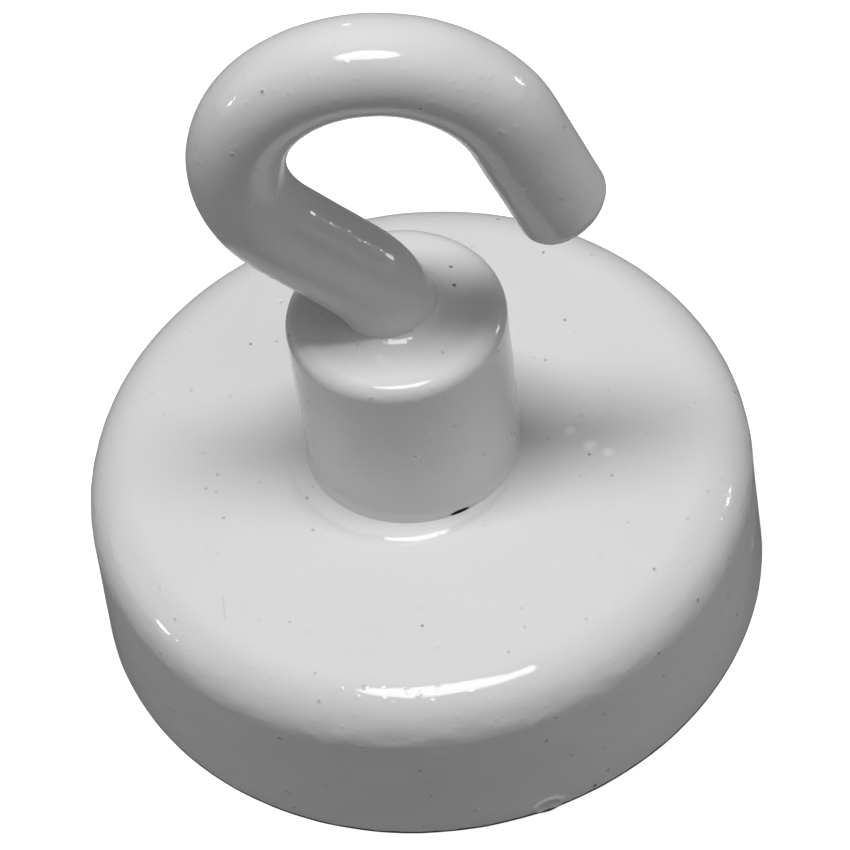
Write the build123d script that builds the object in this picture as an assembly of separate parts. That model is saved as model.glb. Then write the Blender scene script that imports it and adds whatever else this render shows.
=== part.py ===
from build123d import *
import math
import os

# A small ferrite pot magnet with a turned boss and an open round hook, dip-coated in
# white enamel. Millimetres. The origin is the centre of the magnet's holding face, +Z
# points from that face towards the hook, and the hook's mouth opens towards +X.

# ---- driving dimensions -------------------------------------------------------------

# steel pot: a deep-drawn cup, open downwards, whose wall flares a little to its rim. The
# corner radius is where the wall would meet the top if the shoulder were sharp. The rim is
# ground flat, enamel and all, so its edges are sharp.
POT_TOP = 7.2
POT_CORNER_RADIUS = 12.32
POT_SHOULDER_ROUNDING = 2.1
POT_RIM_RADIUS = 12.65
POT_RIM_WIDTH = 1.8
POT_WEB = 1.5
POT_INNER_ROUNDING = 0.8

# turned boss: a bush on top of the pot, whose solid spigot is riveted over inside it
BOSS_RADIUS = 3.9
BOSS_TOP = 14.7
BOSS_TOP_ROUNDING = 0.25
SPIGOT_RADIUS = 2.9
RIVET_RADIUS = 3.75
RIVET_EDGE_RADIUS = 3.5
RIVET_THICKNESS = 0.75
MOUTH_RADIUS = 2.2
MOUTH_DEPTH = 1.2
MOUTH_CHAMFER = 0.15
TAPPED_BOTTOM = 7.0
DRILL_POINT_ANGLE = 118

# ferrite ring, its adhesive and the potting resin round it and in its hole
FACE_RECESS = 0.15
RESIN_RECESS = 0.3
MAGNET_RADIUS = 10.0
MAGNET_HOLE_RADIUS = 4.2
MAGNET_CHAMFER = 0.25
ADHESIVE = 0.15
GAP_RESIN_TOP = 4.7
CENTRE_RESIN_TOP = 4.7

# hook: one piece of round wire, as centreline stretches that follow on tangentially.
# Bends are (radius, degrees). The set bend tips the whole hook towards -Y; the others lie
# in the tipped plane, the first towards -X and the next two over towards +X.
WIRE_RADIUS = 1.62
BEND_START = 13.94
SET_BEND = (8.0, 1.66)
FIRST_BEND = (4.7, 42.3)
STRAIGHT_LENGTH = 3.17
RING_BEND = (4.77, 170.3)
MOUTH_BEND = (5.53, 33.2)
TIP_LENGTH = 4.6
TIP_SLANT = 9.0
TIP_ROUNDING = 0.45

# M4 x 0.7 thread of the shank, and the gap that its tapped hole leaves all round it
PITCH = 0.7
THREAD_ROOT_RADIUS = 1.56
THREAD_CREST_RADIUS = 1.95
THREAD_ROOT_HALF_WIDTH = 0.24
THREAD_CREST_HALF_WIDTH = 0.05
THREAD_TOP = 13.6
THREAD_RUN_OUT = 0.5
SHANK_END = 7.4
SHANK_CHAMFER = 0.45
THREAD_CLEARANCE = 0.1

# enamel: one dipped coat over everything but the holding face and the thread
ENAMEL = 0.1
WIRE_ENAMEL = 0.08
FOOT_RIDGE_RADIUS = 4.98
FOOT_RIDGE_TOE = 0.2
FOOT_RIDGE_HEIGHT = 0.15
NECK_HOLE_RADIUS = 2.4
HOOK_ENAMEL_START = 14.84

# bead of pooled enamel round the hook's neck: it lies on the boss and lifts with the hook
COLLAR_INNER_RADIUS = 2.04
COLLAR_OUTER_RADIUS = 2.8
COLLAR_HEIGHT = 0.35
COLLAR_LIP = 0.25

# ---- derived dimensions -------------------------------------------------------------

WEB_UNDERSIDE = POT_TOP - POT_WEB
SPIGOT_BOTTOM = WEB_UNDERSIDE - RIVET_THICKNESS
MAGNET_TOP = WEB_UNDERSIDE - ADHESIVE
POT_INNER_RADIUS = POT_RIM_RADIUS - POT_RIM_WIDTH
ENAMELLED_POT_TOP = POT_TOP + ENAMEL
ENAMELLED_BOSS_TOP = BOSS_TOP + ENAMEL
BORE_RADIUS = THREAD_ROOT_RADIUS + THREAD_CLEARANCE
THREAD_SLOPE = (THREAD_ROOT_HALF_WIDTH - THREAD_CREST_HALF_WIDTH) / (
    THREAD_CREST_RADIUS - THREAD_ROOT_RADIUS
)
DRILL_CONE_DEPTH = BORE_RADIUS / math.tan(math.radians(DRILL_POINT_ANGLE / 2))
NECK_TOP = BEND_START - SET_BEND[0] * math.sin(math.radians(SET_BEND[1]))


# ---- shared shapes ------------------------------------------------------------------


def turned(outline):
    """A solid of revolution about Z from a closed outline, whose points are (radius, z)."""
    return revolve(Plane.XZ * make_face(outline), axis=Axis.Z)


def ring(inner_radius, outer_radius, bottom, top):
    """A plain washer-shaped solid on the Z axis."""
    return turned(
        Polyline(
            (inner_radius, bottom),
            (outer_radius, bottom),
            (outer_radius, top),
            (inner_radius, top),
            close=True,
        )
    )


def disc(radius, bottom, top):
    """A plain cylinder on the Z axis."""
    return Pos(0, 0, (bottom + top) / 2) * Cylinder(radius, top - bottom)


def pot_side(growth=0):
    """The pot's outer profile from its wall's foot to its flat top, ending at the boss.

    growth moves the profile outwards, as the enamel does.
    """
    top = POT_TOP + growth
    return FilletPolyline(
        (POT_RIM_RADIUS + growth, 0),
        (POT_CORNER_RADIUS + growth, top),
        (BOSS_RADIUS, top),
        radius=POT_SHOULDER_ROUNDING + growth,
    )


def helical_band(radii, half_widths, bottom, top):
    """A right-hand helical solid of trapezium section about Z, with PITCH between turns.

    radii and half_widths give the section's inner side and then its outer side.
    """
    height = top - bottom
    sides = [(0, -1), (1, -1), (1, 1), (0, 1)]
    helices = [
        Edge.make_helix(
            PITCH, height, radii[side], center=(0, 0, bottom + sign * half_widths[side])
        )
        for side, sign in sides
    ]
    faces = [
        Face.make_surface_from_curves(helices[n], helices[(n + 1) % len(helices)])
        for n in range(len(helices))
    ]
    for place in (0, 1):
        corners = [helix @ place for helix in helices]
        faces.append(make_face(Polyline(*corners, close=True)).face())
    return Solid(Shell(faces))


# ---- steel pot and boss -------------------------------------------------------------


def pot_shell():
    """The drawn cup with the hole that the boss's spigot passes through."""
    outside = pot_side()
    inner_wall_top = (POT_INNER_RADIUS, WEB_UNDERSIDE - POT_INNER_ROUNDING)
    inner_web_edge = (POT_INNER_RADIUS - POT_INNER_ROUNDING, WEB_UNDERSIDE)
    outline = Curve() + [
        outside,
        Polyline(
            outside @ 1, (SPIGOT_RADIUS, POT_TOP), (SPIGOT_RADIUS, WEB_UNDERSIDE), inner_web_edge
        ),
        RadiusArc(inner_web_edge, inner_wall_top, POT_INNER_ROUNDING),
        Polyline(inner_wall_top, (POT_INNER_RADIUS, 0), outside @ 0),
    ]
    return turned(outline)


def threaded_boss():
    """The turned bush: body, riveted spigot, mouth recess and tapped blind hole."""
    cone_tip = (0, TAPPED_BOTTOM - DRILL_CONE_DEPTH)
    mouth_floor = BOSS_TOP - MOUTH_DEPTH
    body = turned(
        Polyline(
            cone_tip,
            (BORE_RADIUS, TAPPED_BOTTOM),
            (BORE_RADIUS, mouth_floor),
            (MOUTH_RADIUS, mouth_floor),
            (MOUTH_RADIUS, BOSS_TOP - MOUTH_CHAMFER),
            (MOUTH_RADIUS + MOUTH_CHAMFER, BOSS_TOP),
            (BOSS_RADIUS - BOSS_TOP_ROUNDING, BOSS_TOP),
            (BOSS_RADIUS, BOSS_TOP - BOSS_TOP_ROUNDING),
            (BOSS_RADIUS, POT_TOP),
            (SPIGOT_RADIUS, POT_TOP),
            (SPIGOT_RADIUS, WEB_UNDERSIDE),
            (RIVET_RADIUS, WEB_UNDERSIDE),
            (RIVET_EDGE_RADIUS, SPIGOT_BOTTOM),
            (0, SPIGOT_BOTTOM),
            close=True,
        )
    )
    groove_inner = THREAD_ROOT_RADIUS
    groove_outer = THREAD_CREST_RADIUS + THREAD_CLEARANCE
    widening = THREAD_CLEARANCE * math.hypot(1, THREAD_SLOPE)
    groove = helical_band(
        (groove_inner, groove_outer),
        (
            THREAD_ROOT_HALF_WIDTH + widening,
            THREAD_CREST_HALF_WIDTH + widening - THREAD_CLEARANCE * THREAD_SLOPE,
        ),
        TAPPED_BOTTOM,
        TAPPED_BOTTOM + PITCH * math.ceil((mouth_floor - TAPPED_BOTTOM) / PITCH),
    )
    return body - groove


# ---- magnet and resin ---------------------------------------------------------------


def ferrite_ring():
    """The sintered magnet, with its ground face just inside the pot's rim."""
    magnet = ring(MAGNET_HOLE_RADIUS, MAGNET_RADIUS, FACE_RECESS, MAGNET_TOP)
    outer_edges = magnet.edges().filter_by(GeomType.CIRCLE).group_by(SortBy.RADIUS)[-1]
    return chamfer(outer_edges, MAGNET_CHAMFER)


def magnet_adhesive():
    """The film that holds the magnet against the pot's web."""
    return ring(MAGNET_HOLE_RADIUS, MAGNET_RADIUS - MAGNET_CHAMFER, MAGNET_TOP, WEB_UNDERSIDE)


def gap_resin():
    """The potting resin between the magnet and the pot's wall."""
    return ring(MAGNET_RADIUS, POT_INNER_RADIUS, RESIN_RECESS + MAGNET_CHAMFER, GAP_RESIN_TOP)


def centre_resin():
    """The resin that closes the magnet's hole below the riveted spigot."""
    return disc(MAGNET_HOLE_RADIUS, RESIN_RECESS, CENTRE_RESIN_TOP)


# ---- hook ---------------------------------------------------------------------------


def set_bend():
    """The slight bend just above the thread that tips the hook towards -Y."""
    return Plane.YZ.location * JernArc((0, NECK_TOP), (0, 1), *SET_BEND)


def hook_plane():
    """The tipped plane that the hook's round bends lie in, with X across and Y up the hook."""
    neck = set_bend()
    across = Vector(1, 0, 0)
    return Plane(origin=neck @ 1, x_dir=across, z_dir=across.cross(neck % 1))


def hook_bends():
    """The centreline from the first round bend to the cut end, in the hook's own plane."""
    ring_radius, ring_angle = RING_BEND
    mouth_radius, mouth_angle = MOUTH_BEND
    path = JernArc((0, 0), (0, 1), *FIRST_BEND)
    path += PolarLine(path @ 1, STRAIGHT_LENGTH, direction=path % 1)
    path += JernArc(path @ 1, path % 1, ring_radius, -ring_angle)
    path += JernArc(path @ 1, path % 1, mouth_radius, -mouth_angle)
    path += PolarLine(path @ 1, TIP_LENGTH, direction=path % 1)
    return path


def bent_wire(radius, end_coat=0):
    """The round wire above the shank, cut off on the slant and rounded at its edge.

    end_coat is how far it reaches past the bare steel's cut end.
    """
    bends = hook_plane().location * hook_bends()
    end, along = bends @ 1, bends % 1
    spare = Line(end, end + along * radius)
    path = Curve() + [set_bend(), bends, spare]
    start = Plane(origin=path @ 0, z_dir=path % 0)
    wire = sweep(start * Circle(radius), path=path)
    slanted = along.rotate(Axis((0, 0, 0), hook_plane().z_dir), TIP_SLANT)
    cut = Plane(origin=end + slanted * end_coat, z_dir=slanted)
    offcut = Pos(0, 0, radius) * Cylinder(2 * radius, 2 * radius)
    wire -= cut.location * offcut
    tip_edge = wire.edges().filter_by(GeomType.ELLIPSE).sort_by_distance(end)[0]
    return fillet(tip_edge, TIP_ROUNDING + end_coat)


def shank():
    """The straight end of the wire with its thread, in the boss's tapped hole."""
    core = disc(THREAD_ROOT_RADIUS, SHANK_END, NECK_TOP)
    neck = disc(WIRE_RADIUS, THREAD_TOP, NECK_TOP)
    # the blank that the thread's crests stay inside: chamfered below, running out above
    blank = turned(
        Polyline(
            (0, SHANK_END),
            (THREAD_CREST_RADIUS - SHANK_CHAMFER, SHANK_END),
            (THREAD_CREST_RADIUS, SHANK_END + SHANK_CHAMFER),
            (THREAD_CREST_RADIUS, THREAD_TOP - THREAD_RUN_OUT),
            (THREAD_ROOT_RADIUS, THREAD_TOP),
            (0, THREAD_TOP),
            close=True,
        )
    )
    # the ridge is rooted inside the core, so that the two fuse cleanly
    rooting = 0.2
    first_turn = TAPPED_BOTTOM
    turns = math.floor((THREAD_TOP - first_turn) / PITCH)
    ridge = helical_band(
        (THREAD_ROOT_RADIUS - rooting, THREAD_CREST_RADIUS),
        (THREAD_ROOT_HALF_WIDTH + rooting * THREAD_SLOPE, THREAD_CREST_HALF_WIDTH),
        first_turn,
        first_turn + turns * PITCH,
    )
    return core + neck + (ridge & blank)


def hook():
    """The whole wire hook, from its threaded end to its tip."""
    return shank() + bent_wire(WIRE_RADIUS)


# ---- enamel -------------------------------------------------------------------------


def pot_enamel():
    """The coat over the pot's side, shoulder and top, up to the boss."""
    outside, inside = pot_side(ENAMEL), pot_side()
    outline = Curve() + [
        outside,
        Line(outside @ 1, inside @ 1),
        inside,
        Line(inside @ 0, outside @ 0),
    ]
    return turned(outline)


def boss_enamel():
    """The coat on the boss, with the low ridge that it has run into round the foot."""
    radius = BOSS_RADIUS + ENAMEL
    rounding = BOSS_TOP_ROUNDING + ENAMEL / 2
    ridge_top = ENAMELLED_POT_TOP + FOOT_RIDGE_HEIGHT
    side_top = (radius, ENAMELLED_BOSS_TOP - rounding)
    top_edge = (radius - rounding, ENAMELLED_BOSS_TOP)
    outline = Curve() + [
        Polyline(
            (BOSS_RADIUS, ENAMELLED_POT_TOP),
            (FOOT_RIDGE_RADIUS + FOOT_RIDGE_TOE, ENAMELLED_POT_TOP),
            (FOOT_RIDGE_RADIUS, ridge_top),
            (radius, ridge_top),
            side_top,
        ),
        RadiusArc(side_top, top_edge, -rounding),
        Polyline(
            top_edge,
            (NECK_HOLE_RADIUS, ENAMELLED_BOSS_TOP),
            (NECK_HOLE_RADIUS, BOSS_TOP),
            (BOSS_RADIUS - BOSS_TOP_ROUNDING, BOSS_TOP),
            (BOSS_RADIUS, BOSS_TOP - BOSS_TOP_ROUNDING),
            (BOSS_RADIUS, ENAMELLED_POT_TOP),
        ),
    ]
    return turned(outline)


def hook_enamel():
    """The coat on the wire, from just above the boss to over the cut end."""
    coated = bent_wire(WIRE_RADIUS + WIRE_ENAMEL, end_coat=WIRE_ENAMEL)
    bare_neck = disc(BOSS_RADIUS, POT_TOP, HOOK_ENAMEL_START)
    return coated - bent_wire(WIRE_RADIUS) - bare_neck


def neck_collar():
    """The bead of enamel round the hook's neck, which lies on the boss's top."""
    base = ENAMELLED_BOSS_TOP
    return turned(
        Polyline(
            (COLLAR_INNER_RADIUS, base),
            (COLLAR_OUTER_RADIUS, base),
            (COLLAR_INNER_RADIUS + COLLAR_LIP, base + COLLAR_HEIGHT),
            (COLLAR_INNER_RADIUS, base + COLLAR_HEIGHT),
            close=True,
        )
    )


# ---- the whole object ---------------------------------------------------------------

NODES = {
    "pot_shell": pot_shell,
    "threaded_boss": threaded_boss,
    "ferrite_ring": ferrite_ring,
    "magnet_adhesive": magnet_adhesive,
    "gap_resin": gap_resin,
    "centre_resin": centre_resin,
    "hook": hook,
    "pot_enamel": pot_enamel,
    "boss_enamel": boss_enamel,
    "hook_enamel": hook_enamel,
    "neck_collar": neck_collar,
}

os.makedirs("parts", exist_ok=True)
for name, make in NODES.items():
    export_step(make(), f"parts/{name}.step")
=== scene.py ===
import math

import bmesh
import bpy
import numpy as np
from mathutils import Matrix, Vector, noise


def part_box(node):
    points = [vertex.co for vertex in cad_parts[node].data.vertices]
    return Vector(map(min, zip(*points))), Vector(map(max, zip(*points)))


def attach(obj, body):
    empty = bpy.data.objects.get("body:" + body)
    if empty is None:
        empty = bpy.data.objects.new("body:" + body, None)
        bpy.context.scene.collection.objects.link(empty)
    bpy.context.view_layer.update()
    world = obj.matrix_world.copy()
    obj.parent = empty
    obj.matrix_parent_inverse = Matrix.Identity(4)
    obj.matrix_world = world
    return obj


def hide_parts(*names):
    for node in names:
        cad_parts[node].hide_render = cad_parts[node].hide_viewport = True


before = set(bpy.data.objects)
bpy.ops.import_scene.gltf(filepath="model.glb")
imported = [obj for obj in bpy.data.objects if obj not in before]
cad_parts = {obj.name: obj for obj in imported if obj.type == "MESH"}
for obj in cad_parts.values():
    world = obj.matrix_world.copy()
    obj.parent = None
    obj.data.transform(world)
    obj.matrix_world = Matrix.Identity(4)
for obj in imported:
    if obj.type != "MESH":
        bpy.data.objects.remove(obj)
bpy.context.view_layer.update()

# An enamelled pot magnet with an open hook, in metres, in the CAD model's frame. The CAD
# bodies hold it together; this file gives each piece its surface.

MM = 0.001

# ---- sizes read from the frame -------------------------------------------------------

POT_LOW, POT_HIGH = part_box("pot_enamel")
SHELL_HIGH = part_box("pot_shell")[1]
BOSS_STEEL_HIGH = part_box("threaded_boss")[1]
BOSS_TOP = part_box("boss_enamel")[1].z
COLLAR_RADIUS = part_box("neck_collar")[1].x

COAT = POT_HIGH.z - SHELL_HIGH.z
RIM_RADIUS = POT_HIGH.x
POT_TOP = POT_HIGH.z
BOSS_RADIUS = BOSS_STEEL_HIGH.x + COAT

# ---- sizes of the enamel's own shape -------------------------------------------------

# the corner is where the leaning wall would meet the pot's top if the shoulder were sharp
CORNER_RADIUS = 12.42 * MM
SHOULDER_ROUNDING = 2.2 * MM
FOOT_ROUNDING = 0.05 * MM
BOSS_EDGE_ROUNDING = 0.68 * MM
NECK_HOLE_RADIUS = 2.4 * MM

# the low pool that the enamel has run down into at the front of the boss's foot
POOL_CENTRE = Vector((-0.4, -0.5, 0)) * MM
POOL_RADIUS = 4.3 * MM
POOL_CLEAR_RADIUS = POOL_RADIUS + 0.6 * MM
POOL_SLOPE = 0.32 * MM
POOL_HEIGHT = 0.14 * MM
POOL_FADE = 0.6 * MM
FOOT_FILLET = 0.12 * MM

# the meniscus round the hook's neck, with a lip inside it that closes on the bent wire
NECK_BEAD_OUTER = COLLAR_RADIUS + 0.3 * MM
NECK_BEAD_INNER = 1.6 * MM
NECK_BEAD_LIP = 1.3 * MM
NECK_BEAD_HEIGHT = 0.6 * MM
NECK_BEAD_SINK = 0.012 * MM
NECK_BEAD_STEEPEST = 86
NECK_BEAD_COUNT = 200

# sag and orange peel in the coat, and the rougher curtain of it over the shoulder's lower
# edge: (depth, size, octaves, seed)
SAG = (0.015 * MM, 2.4 * MM, 2, 3.1)
PEEL = (0.004 * MM, 0.7 * MM, 2, 11.7)
CURTAIN = (0.022 * MM, 0.75 * MM, 2, 7.9)
CURTAIN_Z = 5.5 * MM
CURTAIN_REACH = 0.8 * MM

# the hook's centreline: bends as (radius, degrees), and straight lengths
BEND_START = Vector((0, 0, 13.94 * MM))
LEAN = 1.66
FIRST_BEND = (4.7 * MM, 42.3)
STRAIGHT_LENGTH = 3.17 * MM
RING_BEND = (4.77 * MM, 170.3)
MOUTH_BEND = (5.53 * MM, 33.2)
TIP_LENGTH = 4.68 * MM
TIP_SLANT = 9.0
TIP_ROUNDING = 0.53 * MM
SLANT_REACH = 1.6 * MM
# the rings that fill the flat end, as shares of its radius
TIP_FLAT_SHARES = (0.85, 0.7, 0.5, 0.3, 0.1)
WIRE_RADIUS = 1.7 * MM
WIRE_COUNT = 96
HOOK_COAT_START = 14.54 * MM

# the mesh of the base's coat: steps along its outline, and between azimuths in degrees
WALL_FOOT_STEP = 0.06 * MM
POT_STEP = 0.22 * MM
POOL_STEP = 0.055 * MM
BOSS_STEP = 0.25 * MM
PLAIN_TURN = 0.9
FLAW_TURN = 0.2
FLAW_MARGIN = 0.4


# ---- mesh helpers --------------------------------------------------------------------


def new_object(name, verts, faces, crease=50):
    """A mesh object shaded smooth, but sharp where faces meet at over crease degrees."""
    mesh = bpy.data.meshes.new(name)
    mesh.from_pydata(verts, [], faces)
    shape = bmesh.new()
    shape.from_mesh(mesh)
    bmesh.ops.recalc_face_normals(shape, faces=shape.faces)
    shape.to_mesh(mesh)
    shape.free()
    mesh.polygons.foreach_set("use_smooth", [True] * len(mesh.polygons))
    mesh.set_sharp_from_angle(angle=math.radians(crease))
    obj = bpy.data.objects.new(name, mesh)
    bpy.context.scene.collection.objects.link(obj)
    return obj


def ring_faces(rings, count, closed=False):
    """Quads between successive rings of count points; closed joins the last to the first."""
    faces = []
    for i in range(rings if closed else rings - 1):
        a = i * count
        b = (i + 1) % rings * count
        for j in range(count):
            k = (j + 1) % count
            faces.append((a + j, a + k, b + k, b + j))
    return faces


def arc_points(centre, radius, start_deg, end_deg, count):
    """Points on an arc in a plane, both ends included."""
    turns = np.radians(np.linspace(start_deg, end_deg, count))
    return [(centre[0] + radius * math.cos(a), centre[1] + radius * math.sin(a)) for a in turns]


def resampled(points, spacing):
    """The same open polyline with no run longer than spacing."""
    out = [points[0]]
    for a, b in zip(points[:-1], points[1:]):
        steps = max(1, math.ceil(math.dist(a, b) / spacing))
        out += [
            (a[0] + (b[0] - a[0]) * s / steps, a[1] + (b[1] - a[1]) * s / steps)
            for s in range(1, steps + 1)
        ]
    return out


def outline_normals(outline):
    """Unit normals of an open (radius, z) outline, to the right of its run."""
    run = np.gradient(np.array(outline), axis=0)
    normal = np.stack([run[:, 1], -run[:, 0]], axis=1)
    return normal / np.linalg.norm(normal, axis=1)[:, None]


def spun(outline, turns, relief=None):
    """Rings of points from a (radius, z) outline, moved along their normals by relief.

    turns are the azimuths of each ring's points, in radians.
    """
    verts = []
    spokes = [(math.cos(turn), math.sin(turn)) for turn in turns]
    for (x, z), (nx, nz) in zip(outline, outline_normals(outline)):
        for c, s in spokes:
            point = Vector((x * c, x * s, z))
            if relief:
                point += Vector((nx * c, nx * s, nz)) * relief(point)
            verts.append(point)
    return verts


# ---- the enamel's relief -------------------------------------------------------------


def layer(point, depth, size, octaves, seed):
    """One layer of smooth relief, depth high, with features about size across."""
    place = point / size + Vector((seed, seed * 0.7, -seed * 1.3))
    return depth * noise.fractal(place, 1.0, 2.0, octaves, noise_basis="PERLIN_ORIGINAL")


def enamel_relief(point):
    """How far the set enamel stands off its mean surface."""
    return layer(point, *SAG) + layer(point, *PEEL)


def at_azimuth(radius, degrees, z):
    """A place given by its distance from the axis, its direction from +X and its height."""
    turn = math.radians(degrees)
    return Vector((radius * math.cos(turn), radius * math.sin(turn), z))


# grit that stands up under the coat, its paleness partly painted light for the light it
# catches: (place, radius, height)
NIBS = [
    (at_azimuth(5.8 * MM, -1.8, POT_TOP), 0.26 * MM, 0.1 * MM),
    (at_azimuth(6.57 * MM, -8.4, POT_TOP), 0.3 * MM, 0.12 * MM),
    (at_azimuth(7.28 * MM, -10.7, POT_TOP), 0.26 * MM, 0.1 * MM),
    (at_azimuth(RIM_RADIUS, -13.3, 3.05 * MM), 0.3 * MM, 0.08 * MM),
]

# a collapsed blister low on the wall: a thin raised loop, long in the direction round the pot
BLISTER_AZIMUTH = -71.3
BLISTER = at_azimuth(RIM_RADIUS, BLISTER_AZIMUTH, 0.36 * MM)
BLISTER_SIZE = (0.5 * MM, 0.3 * MM)
BLISTER_HEIGHT = 0.055 * MM

# a gap drawn out along the boss's foot, where the enamel has shrunk away
VOID_AZIMUTH = -66.5
VOID = at_azimuth(BOSS_RADIUS + 0.05 * MM, VOID_AZIMUTH, POT_TOP + POOL_HEIGHT)
VOID_SIZE = (0.62 * MM, 0.1 * MM)
VOID_DEPTH = 0.2 * MM

# a faint scratch on the pot's top, nearly along the Y axis
SCRATCH = at_azimuth(10.1 * MM, -134, POT_TOP)
SCRATCH_AZIMUTH = 7.0
SCRATCH_SIZE = (0.05 * MM, 0.7 * MM, 0.3 * MM)

# dark specks that are plainer than the scattered grit: (place, radius)
SPECKS = [
    (Vector((2.05, 1.67, 14.8)) * MM, 0.075 * MM),
    (Vector((2.16, 0.72, 14.9)) * MM, 0.085 * MM),
    (at_azimuth(RIM_RADIUS, -62.8, 0.31 * MM), 0.09 * MM),
]

# the mesh is finer over the blister and the gap: azimuths, and the lowest part of the wall
FLAW_AZIMUTHS = (-77, -58)
FLAW_TOP = 1.0 * MM


def eased(share):
    """share from 0 to 1, eased at both ends."""
    share = min(1.0, max(0.0, share))
    return share * share * (3 - 2 * share)


def mound(distance):
    """A smooth mound of height 1 that has died out at a distance of about 2."""
    return math.exp(-2 * distance * distance)


def oval_distance(point, place, size):
    """Distance from place, where size is the unit round the axis and the unit up or out."""
    around = Vector((-place.y, place.x, 0)).normalized()
    offset = point - place
    along = offset.dot(around)
    across = (offset - along * around).length
    return math.hypot(along / size[0], across / size[1])


def pool_relief(point):
    """The pool at the boss's foot, which thins out towards the back and up the boss."""
    reach = math.hypot(point.x - POOL_CENTRE.x, point.y - POOL_CENTRE.y)
    inside = eased((POOL_RADIUS - reach) / POOL_SLOPE + 0.5)
    in_front = eased(0.3 - point.y / POOL_RADIUS)
    return POOL_HEIGHT * inside * in_front * eased(1 - (point.z - POT_TOP) / POOL_FADE)


def base_relief(point):
    """The relief of the coat on the pot and boss, with its few flaws."""
    relief = enamel_relief(point)
    relief += layer(point, *CURTAIN) * mound((point.z - CURTAIN_Z) / CURTAIN_REACH)
    if point.z >= POT_TOP:
        relief += pool_relief(point)
    for place, radius, height in NIBS:
        relief += height * mound((point - place).length / radius)
    loop = oval_distance(point, BLISTER, BLISTER_SIZE)
    relief += BLISTER_HEIGHT * mound((loop - 1) * 3)
    pit = oval_distance(point, VOID, VOID_SIZE)
    return relief - VOID_DEPTH * mound(pit)


# ---- the coat on the pot and boss ----------------------------------------------------


def wall_lean():
    """How far the pot's wall leans in towards its top, in radians."""
    return math.atan2(RIM_RADIUS - CORNER_RADIUS, POT_TOP)


def shoulder_arc(corner_radius, top, rounding, count):
    """The arc that rounds the pot's profile from its leaning wall over to its flat top."""
    lean = wall_lean()
    setback = rounding * math.tan((math.pi / 2 - lean) / 2)
    centre = (corner_radius - setback, top - rounding)
    return arc_points(centre, rounding, math.degrees(lean), 90, count)


def base_outline():
    """The coat's outer (radius, z) outline, from the rim's foot to the hole for the neck."""
    foot = (RIM_RADIUS - FOOT_ROUNDING, POT_LOW.z + FOOT_ROUNDING)
    points = arc_points(foot, FOOT_ROUNDING, -90, 0, 5)
    points.append((RIM_RADIUS - FLAW_TOP * math.tan(wall_lean()), FLAW_TOP))
    points += shoulder_arc(CORNER_RADIUS, POT_TOP, SHOULDER_ROUNDING, 46)
    points.append((POOL_CLEAR_RADIUS, POT_TOP))
    corner = (BOSS_RADIUS + FOOT_FILLET, POT_TOP + FOOT_FILLET)
    points += arc_points(corner, FOOT_FILLET, 270, 180, 9)
    points.append((BOSS_RADIUS, POT_TOP + POOL_FADE))
    edge = (BOSS_RADIUS - BOSS_EDGE_ROUNDING, BOSS_TOP - BOSS_EDGE_ROUNDING)
    points += arc_points(edge, BOSS_EDGE_ROUNDING, 0, 90, 12)
    points.append((NECK_HOLE_RADIUS, BOSS_TOP))
    return points


def base_inner_outline():
    """The coat's hidden side, on the steel, from the neck's hole back to the rim."""
    steel_edge = 0.25 * MM
    shoulder = shoulder_arc(CORNER_RADIUS - COAT, SHELL_HIGH.z, SHOULDER_ROUNDING - COAT, 16)
    return [
        (NECK_HOLE_RADIUS, BOSS_STEEL_HIGH.z),
        (BOSS_STEEL_HIGH.x - steel_edge, BOSS_STEEL_HIGH.z),
        (BOSS_STEEL_HIGH.x, BOSS_STEEL_HIGH.z - steel_edge),
        (BOSS_STEEL_HIGH.x, SHELL_HIGH.z),
        *reversed(shoulder),
        (SHELL_HIGH.x, POT_LOW.z),
    ]


def fine_outline():
    """The outer outline with its points closer together where the flaws and the pool are."""
    points = base_outline()
    wall_foot = [p for p in points if p[1] <= FLAW_TOP]
    near_boss = [p for p in points if p[1] >= POT_TOP and p[0] <= POOL_CLEAR_RADIUS]
    foot_of_boss = [p for p in near_boss if p[1] <= POT_TOP + POOL_FADE]
    pot = points[len(wall_foot) - 1 : len(points) - len(near_boss) + 1]
    boss = near_boss[len(foot_of_boss) - 1 :]
    outline = resampled(wall_foot, WALL_FOOT_STEP)
    outline += resampled(pot, POT_STEP)[1:]
    outline += resampled(foot_of_boss, POOL_STEP)[1:]
    return outline + resampled(boss, BOSS_STEP)[1:]


def base_turns():
    """Azimuths round the base in radians, closer together where the flaws are."""
    low, high = (edge + 360 for edge in FLAW_AZIMUTHS)
    plain = np.arange(0, 360, PLAIN_TURN)
    plain = plain[(plain < low - FLAW_MARGIN) | (plain > high + FLAW_MARGIN)]
    fine = np.arange(low, high, FLAW_TURN)
    return np.radians(np.sort(np.concatenate([plain, fine])))


def make_base_enamel():
    """The one continuous coat over pot and boss."""
    turns = base_turns()
    outer = fine_outline()
    inner = base_inner_outline()
    verts = spun(outer, turns, base_relief) + spun(inner, turns)
    faces = ring_faces(len(outer) + len(inner), len(turns), closed=True)
    return new_object("base_enamel", verts, faces)


# ---- the coat on the hook ------------------------------------------------------------


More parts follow.
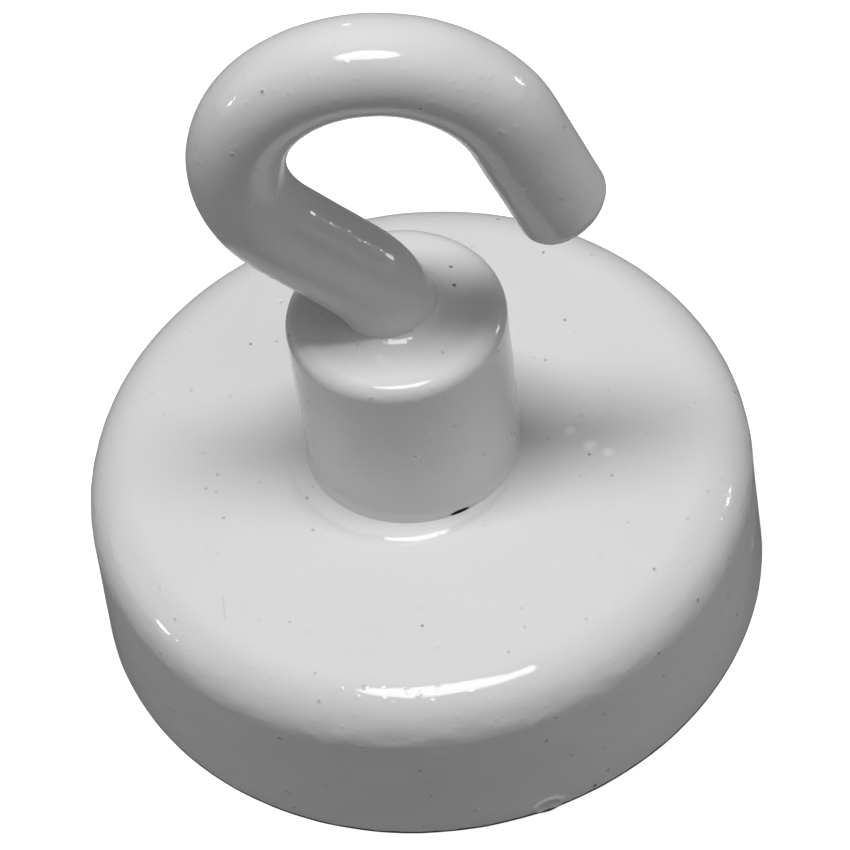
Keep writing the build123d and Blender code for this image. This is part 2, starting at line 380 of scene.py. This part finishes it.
def hook_stations(step=0.1 * MM):
    """(place, direction) along the centreline, in the hook's own plane from its first bend."""
    at = Vector((0.0, 0.0))
    along = Vector((0.0, 1.0))
    stations = [(at.copy(), along.copy())]

    def bend(radius, degrees):
        nonlocal at, along
        steps = math.ceil(radius * math.radians(abs(degrees)) / step)
        side = math.copysign(1, degrees)
        centre = at + side * radius * Vector((-along.y, along.x))
        spoke, first = at - centre, along.copy()
        for n in range(1, steps + 1):
            turn = Matrix.Rotation(math.radians(degrees) * n / steps, 2)
            stations.append((centre + turn @ spoke, turn @ first))
        at, along = stations[-1]

    def run(length):
        nonlocal at
        steps = math.ceil(length / step)
        start = at
        for n in range(1, steps + 1):
            stations.append((start + along * length * n / steps, along.copy()))
        at = stations[-1][0]

    bend(FIRST_BEND[0], FIRST_BEND[1])
    run(STRAIGHT_LENGTH)
    bend(RING_BEND[0], -RING_BEND[1])
    bend(MOUTH_BEND[0], -MOUTH_BEND[1])
    run(TIP_LENGTH)
    return stations


def wire_rings():
    """(place, direction, radius, cap share) of the rings that make up the coated wire."""
    stations = [s for s in hook_stations() if BEND_START.z + s[0].y > HOOK_COAT_START]
    end, along = stations[-1]
    rings = [(p, t, WIRE_RADIUS, 0.0) for p, t in stations if (end - p).length > TIP_ROUNDING]
    for turn in np.radians(np.linspace(0, 90, 12)):
        back = TIP_ROUNDING * (1 - math.sin(turn))
        radius = WIRE_RADIUS - TIP_ROUNDING * (1 - math.cos(turn))
        rings.append((end - along * back, along, radius, math.sin(turn)))
    flat = WIRE_RADIUS - TIP_ROUNDING
    return rings + [(end, along, flat * share, 1.0) for share in TIP_FLAT_SHARES]


def make_hook_enamel():
    """The coat on the wire, over its slanting cut end."""
    count = WIRE_COUNT
    tilt = Matrix.Rotation(math.radians(LEAN), 3, "X")
    rings = wire_rings()
    end = rings[-1][0]
    verts = []
    for place, along, radius, cap in rings:
        centre = Vector((place.x, 0, place.y))
        ahead = Vector((along.x, 0, along.y))
        inward = Vector((along.y, 0, -along.x))
        to_end = (end - place).length
        slant = math.tan(math.radians(TIP_SLANT)) * max(0.0, 1 - to_end / SLANT_REACH)
        for k in range(count):
            turn = 2 * math.pi * k / count
            out = inward * math.cos(turn) + Vector((0, 1, 0)) * math.sin(turn)
            offset = out * radius
            point = centre + offset + ahead * slant * offset.dot(inward)
            point = BEND_START + tilt @ point
            normal = tilt @ (out * math.sqrt(1 - cap * cap) + ahead * cap)
            verts.append(point + normal * enamel_relief(point))
    faces = ring_faces(len(rings), count)
    faces.append(tuple(range((len(rings) - 1) * count, len(rings) * count)))
    faces.append(tuple(range(count)))
    return new_object("hook_enamel_skin", verts, faces)


def make_neck_bead():
    """The meniscus round the hook's neck, which runs out onto the boss's top."""
    count = NECK_BEAD_COUNT
    foot = BOSS_TOP - NECK_BEAD_SINK
    outline = []
    for turn in np.radians(np.linspace(0, NECK_BEAD_STEEPEST, 22)):
        radius = NECK_BEAD_OUTER - (NECK_BEAD_OUTER - NECK_BEAD_INNER) * math.sin(turn)
        outline.append((radius, foot + NECK_BEAD_HEIGHT * (1 - math.cos(turn))))
    outline.append((NECK_BEAD_LIP, foot + NECK_BEAD_HEIGHT))
    under = [(NECK_BEAD_LIP, foot), (COLLAR_RADIUS, foot)]
    turns = [2 * math.pi * k / count for k in range(count)]
    verts = spun(outline, turns, enamel_relief) + spun(under, turns)
    faces = ring_faces(len(outline) + len(under), count, closed=True)
    return new_object("neck_bead_skin", verts, faces)


# ---- materials -----------------------------------------------------------------------


class Paint:
    """A node material under construction, with short ways to add and join its nodes.

    Sizes and distances are in metres, and heights and shares run from 0 to 1.
    """

    def __init__(self, name):
        self.material = bpy.data.materials.new(name)
        self.material.use_nodes = True
        self.tree = self.material.node_tree
        self.shader = self.tree.nodes["Principled BSDF"]
        self.place = self.add("ShaderNodeTexCoord").outputs["Object"]

    def add(self, kind, **settings):
        node = self.tree.nodes.new(kind)
        for key, value in settings.items():
            setattr(node, key, value)
        return node

    def feed(self, socket, value):
        """Link an output to a socket, or set a constant on it."""
        if isinstance(value, bpy.types.NodeSocket):
            self.tree.links.new(value, socket)
        else:
            socket.default_value = value

    def stretched(self, scale):
        """Object coordinates multiplied by scale along each axis."""
        node = self.add("ShaderNodeVectorMath", operation="MULTIPLY")
        self.feed(node.inputs[0], self.place)
        self.feed(node.inputs[1], scale)
        return node.outputs[0]

    def noise(self, size, detail=2.0, rough=0.5, at=None):
        """Smooth noise from 0 to 1 with features about size metres across."""
        node = self.add("ShaderNodeTexNoise")
        self.feed(node.inputs["Vector"], at or self.place)
        node.inputs["Scale"].default_value = 1 / size
        node.inputs["Detail"].default_value = detail
        node.inputs["Roughness"].default_value = rough
        return node.outputs["Fac"]

    def dots(self, spacing, radius, soft):
        """1 inside round dots of the radius, scattered about spacing apart, and 0 outside."""
        node = self.add("ShaderNodeTexVoronoi")
        self.feed(node.inputs["Vector"], self.place)
        node.inputs["Scale"].default_value = 1 / spacing
        edge = radius / spacing
        return self.ramp(node.outputs["Distance"], edge * (1 - soft), edge * (1 + soft), 1, 0)

    def spot(self, place, degrees, size):
        """Distance from place in units of size, along axes turned by degrees about Z."""
        node = self.add("ShaderNodeMapping", vector_type="TEXTURE")
        self.feed(node.inputs["Vector"], self.place)
        node.inputs["Location"].default_value = place
        node.inputs["Rotation"].default_value = (0, 0, math.radians(degrees))
        node.inputs["Scale"].default_value = size
        length = self.add("ShaderNodeVectorMath", operation="LENGTH")
        self.feed(length.inputs[0], node.outputs[0])
        return length.outputs["Value"]

    def ramp(self, value, low, high, out_low=0.0, out_high=1.0):
        """value between low and high, eased to between out_low and out_high."""
        node = self.add("ShaderNodeMapRange", interpolation_type="SMOOTHSTEP")
        self.feed(node.inputs["Value"], value)
        node.inputs["From Min"].default_value = low
        node.inputs["From Max"].default_value = high
        node.inputs["To Min"].default_value = out_low
        node.inputs["To Max"].default_value = out_high
        return node.outputs["Result"]

    def maths(self, operation, a, b):
        node = self.add("ShaderNodeMath", operation=operation)
        self.feed(node.inputs[0], a)
        self.feed(node.inputs[1], b)
        return node.outputs[0]

    def mix(self, share, a, b):
        """Colour a where share is 0, and b where it is 1."""
        node = self.add("ShaderNodeMix", data_type="RGBA")
        self.feed(node.inputs["Factor"], share)
        self.feed(node.inputs[6], a)
        self.feed(node.inputs[7], b)
        return node.outputs[2]

    def axis(self, name):
        node = self.add("ShaderNodeSeparateXYZ")
        self.feed(node.inputs[0], self.place)
        return node.outputs[name]

    def bump(self, height, distance, under=None):
        """A normal from a 0 to 1 height that stands for distance metres, over another one."""
        node = self.add("ShaderNodeBump")
        node.inputs["Distance"].default_value = distance
        self.feed(node.inputs["Height"], height)
        if under:
            self.feed(node.inputs["Normal"], under)
        return node.outputs["Normal"]

    def finish(self, **inputs):
        """Give the shader its inputs by name, with _ for a space."""
        for key, value in inputs.items():
            self.feed(self.shader.inputs[key.replace("_", " ")], value)
        return self.material


def grey(value):
    return (value, value, value, 1)


def enamel_material():
    """Glossy white dipped enamel with grit, pale nibs partly painted as lit, a scratch, painted
    shade in the gap at the boss's foot, and a rougher foot painted dark as a contact shadow.
    """
    grit_spacing = 0.95 * MM
    paint = Paint("white_enamel")
    colour = paint.mix(paint.noise(3.5 * MM, 3), grey(0.765), grey(0.795))
    # grit: fine specks, some plainer to see than others
    faintness = paint.ramp(paint.noise(1.3 * MM, 1), 0.42, 0.62, 0.1, 0.75)
    specks = paint.maths("MULTIPLY", paint.dots(grit_spacing, 0.062 * MM, 0.45), faintness)
    colour = paint.mix(specks, colour, grey(0.24))
    # a faint curved scratch on the pot's top
    scratch = paint.spot(SCRATCH, SCRATCH_AZIMUTH, SCRATCH_SIZE)
    colour = paint.mix(paint.ramp(scratch, 0.6, 1.0, 0.3, 0), colour, grey(0.5))
    # painted shade: the gap at the boss's foot is painted near-black for the shade that falls
    # inside it
    gap = paint.spot(VOID, VOID_AZIMUTH + 90, (0.75 * VOID_SIZE[0], VOID_SIZE[1], VOID_SIZE[1]))
    colour = paint.mix(paint.ramp(gap, 0.7, 1.0, 1, 0), colour, grey(0.03))
    # pale nibs, their paleness partly painted light for the light they catch inside the hook's
    # shadow, and the plainest dark specks
    for place, radius, _ in NIBS:
        nib = paint.spot(place, 0, (radius, radius, radius))
        colour = paint.mix(paint.ramp(nib, 0.4, 1.1, 1, 0), colour, grey(0.93))
    for place, radius in SPECKS:
        speck = paint.spot(place, 0, (radius, radius, radius))
        colour = paint.mix(paint.ramp(speck, 0.6, 1.2, 0.8, 0), colour, grey(0.12))
    # painted shade: the coat's lowest edge is painted near-black as a contact shadow line along
    # the pot's foot, and made rougher there as worn coat
    ragged = paint.maths("MULTIPLY", paint.noise(0.5 * MM, 3), -0.1 * MM)
    height = paint.maths("ADD", paint.axis("Z"), ragged)
    # bare is the mask of this painted contact shadow, not of uncovered steel
    bare = paint.ramp(height, 0.06 * MM, 0.11 * MM, 1, 0)
    colour = paint.mix(bare, colour, grey(0.05))
    roughness = paint.ramp(paint.noise(5 * MM, 4, 0.6), 0.35, 0.7, 0.06, 0.11)
    roughness = paint.maths("MAXIMUM", roughness, paint.maths("MULTIPLY", bare, 0.5))
    # orange peel too fine for the mesh, then fine and coarse grit standing on it
    peel = paint.bump(paint.noise(0.45 * MM, 2), 0.0012 * MM)
    fine_grit = paint.bump(paint.dots(0.42 * MM, 0.08 * MM, 0.8), 0.007 * MM, peel)
    grit = paint.bump(paint.dots(grit_spacing, 0.1 * MM, 0.6), 0.012 * MM, fine_grit)
    return paint.finish(Base_Color=colour, Roughness=roughness, IOR=1.5, Normal=grit)


def steel_material():
    """Bright steel: turned and threaded, or ground flat on the rim, with a little staining."""
    paint = Paint("bright_steel")
    turned_marks = paint.noise(1.0, 3, 0.6, paint.stretched((150, 150, 14000)))
    ground_marks = paint.noise(1.0, 4, 0.65, paint.stretched((700, 16000, 400)))
    marks = paint.maths("ADD", turned_marks, ground_marks)
    stain = paint.ramp(paint.noise(1.8 * MM, 5, 0.65), 0.5, 0.72)
    colour = paint.mix(paint.ramp(marks, 0.7, 1.3), grey(0.44), grey(0.62))
    colour = paint.mix(stain, colour, (0.2, 0.17, 0.14, 1))
    roughness = paint.ramp(marks, 0.7, 1.3, 0.42, 0.24)
    roughness = paint.maths("MAXIMUM", roughness, paint.maths("MULTIPLY", stain, 0.6))
    return paint.finish(
        Base_Color=colour,
        Metallic=1.0,
        Roughness=roughness,
        Normal=paint.bump(marks, 0.004 * MM),
    )


def ferrite_material():
    """Sintered hard ferrite: dark, fine-grained, ground, with small pores and light scuffs."""
    paint = Paint("sintered_ferrite")
    grain = paint.noise(0.09 * MM, 4, 0.7)
    grinding = paint.noise(1.0, 3, 0.6, paint.stretched((9000, 260, 260)))
    pores = paint.dots(0.7 * MM, 0.12 * MM, 0.4)
    scuffs = paint.ramp(paint.noise(1.0, 2, 0.5, paint.stretched((420, 5200, 420))), 0.62, 0.78)
    colour = paint.mix(grain, grey(0.028), grey(0.06))
    colour = paint.mix(paint.ramp(grinding, 0.45, 0.75, 0, 0.5), colour, grey(0.1))
    colour = paint.mix(paint.maths("MULTIPLY", scuffs, 0.6), colour, grey(0.22))
    # painted shade: the pores are painted darker than the ferrite around them
    colour = paint.mix(pores, colour, grey(0.012))
    relief = paint.bump(paint.maths("ADD", grain, grinding), 0.006 * MM)
    relief = paint.bump(paint.maths("SUBTRACT", 1.0, pores), 0.03 * MM, relief)
    return paint.finish(
        Base_Color=colour, Roughness=paint.ramp(grinding, 0.35, 0.7, 0.4, 0.65), Normal=relief
    )


def resin_material():
    """Black potting resin, levelled by itself, with small bubbles and dust set in it."""
    paint = Paint("potting_resin")
    cloud = paint.noise(1.5 * MM, 4, 0.6)
    bubbles = paint.dots(0.8 * MM, 0.13 * MM, 0.35)
    dust = paint.dots(0.5 * MM, 0.045 * MM, 0.3)
    colour = paint.mix(cloud, (0.016, 0.015, 0.014, 1), (0.04, 0.036, 0.032, 1))
    colour = paint.mix(dust, colour, grey(0.3))
    level = paint.bump(paint.noise(1.1 * MM, 2), 0.05 * MM)
    pitted = paint.bump(paint.maths("SUBTRACT", 1.0, bubbles), 0.06 * MM, level)
    return paint.finish(
        Base_Color=colour, Roughness=paint.ramp(cloud, 0.3, 0.7, 0.18, 0.4), Normal=pitted
    )


# ---- stage ---------------------------------------------------------------------------


# the floor's radius and that of the hole in it, which the pot covers
FLOOR_RADIUS = 1.7
FLOOR_HOLE_RADIUS = RIM_RADIUS - 0.15 * MM
# its tone and glow as the camera sees it, and its tone as the object does
FLOOR_TONE = 0.5
FLOOR_GLOW = 0.8
FLOOR_BOUNCE = 0.23


def make_floor():
    """A plain pale floor, white to the eye, dim to the object, and clear from below.

    The hole in it lets light from below reach the magnet's face.
    """
    count = 96
    radii = (FLOOR_RADIUS, FLOOR_HOLE_RADIUS)
    turns = [2 * math.pi * k / count for k in range(count)]
    verts = [(r * math.cos(t), r * math.sin(t), 0) for r in radii for t in turns]
    mesh = bpy.data.meshes.new("floor")
    mesh.from_pydata(verts, [], ring_faces(2, count))
    floor = bpy.data.objects.new("floor", mesh)
    bpy.context.scene.collection.objects.link(floor)
    material = bpy.data.materials.new("pale_floor")
    material.use_nodes = True
    tree = material.node_tree
    tree.nodes.clear()
    output = tree.nodes.new("ShaderNodeOutputMaterial")
    path = tree.nodes.new("ShaderNodeLightPath")
    glow = tree.nodes.new("ShaderNodeEmission")
    glow.inputs["Strength"].default_value = FLOOR_GLOW
    pale = tree.nodes.new("ShaderNodeBsdfDiffuse")
    pale.inputs["Color"].default_value = grey(FLOOR_TONE)
    seen = tree.nodes.new("ShaderNodeAddShader")
    dim = tree.nodes.new("ShaderNodeBsdfDiffuse")
    dim.inputs["Color"].default_value = grey(FLOOR_BOUNCE)
    above = tree.nodes.new("ShaderNodeMixShader")
    facing = tree.nodes.new("ShaderNodeNewGeometry")
    clear = tree.nodes.new("ShaderNodeBsdfTransparent")
    final = tree.nodes.new("ShaderNodeMixShader")
    link = tree.links.new
    link(glow.outputs[0], seen.inputs[0])
    link(pale.outputs[0], seen.inputs[1])
    link(path.outputs["Is Camera Ray"], above.inputs[0])
    link(dim.outputs[0], above.inputs[1])
    link(seen.outputs[0], above.inputs[2])
    link(facing.outputs["Backfacing"], final.inputs[0])
    link(above.outputs[0], final.inputs[1])
    link(clear.outputs[0], final.inputs[2])
    link(final.outputs[0], output.inputs["Surface"])
    mesh.materials.append(material)


# softboxes: name, direction from the object, size at right angles to +Y and size the other
# way, radiance, and what it does: "fill" lights surfaces and isn't mirrored in them, and
# "shine" is only mirrored
LIGHT_DISTANCE = 0.4
SOFTBOXES = [
    ("overhead", (-0.03, 0.0, 1.0), (0.3, 0.085), 16.9, "fill"),
    ("key", (0.02, -0.36, 0.93), (0.23, 0.13), 8.5, "shine"),
    ("left_lamp", (-0.97, -0.1, 0.2), (0.035, 0.035), 14.0, "shine"),
    ("right_lamp", (0.93, 0.32, 0.14), (0.05, 0.05), 9.0, "shine"),
    ("back_lamp", (-0.13, 0.84, 0.52), (0.025, 0.025), 12.0, "shine"),
]

# broad soft light from the studio's white walls, and under the floor for the magnet's face:
# direction, brightness, half-width in degrees
GLOWS = [
    ((0.0, 0.1, 1.0), 0.4, 45),
    ((0.5, -0.6, 0.66), 0.6, 36),
    ((-0.98, 0.0, 0.2), 0.76, 34),
    ((0.98, 0.0, 0.2), 0.52, 34),
    ((0.0, -0.5, -0.87), 1.2, 75),
]
AMBIENT = 0.03


def make_softbox(name, direction, size, radiance, role):
    """An oval light whose face is as bright as radiance."""
    light = bpy.data.lights.new(name, "AREA")
    light.shape = "ELLIPSE"
    light.size, light.size_y = size
    light.energy = radiance * size[0] * size[1] * math.pi * math.pi / 4
    lamp = bpy.data.objects.new(name, light)
    lamp.visible_glossy = role == "shine"
    lamp.visible_diffuse = role == "fill"
    bpy.context.scene.collection.objects.link(lamp)
    out = Vector(direction).normalized()
    # the light's first size lies along this, at right angles to +Y
    across = Vector((0, 1, 0)).cross(out).normalized()
    lamp.location = out * LIGHT_DISTANCE
    lamp.rotation_mode = "QUATERNION"
    axes = Matrix((across, out.cross(across), out)).transposed()
    lamp.rotation_quaternion = axes.to_quaternion()


def make_world():
    """Dim surroundings with a soft bright patch round each of GLOWS."""
    world = bpy.data.worlds.new("studio")
    bpy.context.scene.world = world
    world.use_nodes = True
    tree = world.node_tree
    link = tree.links.new
    background = tree.nodes["Background"]
    background.inputs["Color"].default_value = grey(1.0)
    sight = tree.nodes.new("ShaderNodeTexCoord").outputs["Generated"]
    total = None
    for direction, brightness, half_width in GLOWS:
        facing = tree.nodes.new("ShaderNodeVectorMath")
        facing.operation = "DOT_PRODUCT"
        link(sight, facing.inputs[0])
        facing.inputs[1].default_value = Vector(direction).normalized()
        patch = tree.nodes.new("ShaderNodeMapRange")
        patch.interpolation_type = "SMOOTHERSTEP"
        link(facing.outputs["Value"], patch.inputs["Value"])
        patch.inputs["From Min"].default_value = math.cos(math.radians(half_width))
        patch.inputs["From Max"].default_value = 1.0
        patch.inputs["To Max"].default_value = brightness
        add = tree.nodes.new("ShaderNodeMath")
        add.operation = "ADD"
        link(patch.outputs["Result"], add.inputs[0])
        if total:
            link(total, add.inputs[1])
        else:
            add.inputs[1].default_value = AMBIENT
        total = add.outputs[0]
    link(total, background.inputs["Strength"])


def make_camera():
    """A long-lens view from above the object's front."""
    elevation = math.radians(51.92)
    azimuth = math.radians(5.96)
    roll = math.radians(-8.46)
    distance = 135.96 * MM
    pivot = Vector((0, 0, 4 * MM))
    target = Vector((0.4476 * MM, 0.0467 * MM, 7.92 * MM))
    out = Vector(
        (
            math.sin(azimuth) * math.cos(elevation),
            -math.cos(azimuth) * math.cos(elevation),
            math.sin(elevation),
        )
    )
    data = bpy.data.cameras.new("camera")
    data.lens = 151.6
    data.sensor_width = 36
    data.clip_start = 0.005
    data.clip_end = 10
    camera = bpy.data.objects.new("camera", data)
    bpy.context.scene.collection.objects.link(camera)
    camera.location = pivot + out * distance
    forward = (target - camera.location).normalized()
    right = forward.cross(Vector((0, 0, 1))).normalized()
    up = right.cross(forward)
    rolled_right = math.cos(roll) * right + math.sin(roll) * up
    rolled_up = -math.sin(roll) * right + math.cos(roll) * up
    axes = Matrix((rolled_right, rolled_up, -forward)).transposed()
    camera.rotation_mode = "QUATERNION"
    camera.rotation_quaternion = axes.to_quaternion()
    bpy.context.scene.camera = camera


# ---- the whole scene -----------------------------------------------------------------

make_camera()
make_world()
for softbox in SOFTBOXES:
    make_softbox(*softbox)
make_floor()
bpy.context.scene.view_settings.view_transform = "Standard"

enamel = enamel_material()
skins = [
    (make_base_enamel(), "magnet_base", ("pot_enamel", "boss_enamel")),
    (make_hook_enamel(), "screw_hook", ("hook_enamel",)),
    (make_neck_bead(), "neck_bead", ("neck_collar",)),
]
for skin, body, nodes in skins:
    skin.data.materials.append(enamel)
    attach(skin, body)
    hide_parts(*nodes)

bare = {
    steel_material(): ("pot_shell", "threaded_boss", "hook"),
    ferrite_material(): ("ferrite_ring",),
    resin_material(): ("magnet_adhesive", "gap_resin", "centre_resin"),
}
for material, nodes in bare.items():
    for node in nodes:
        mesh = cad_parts[node].data
        mesh.materials.clear()
        mesh.materials.append(material)
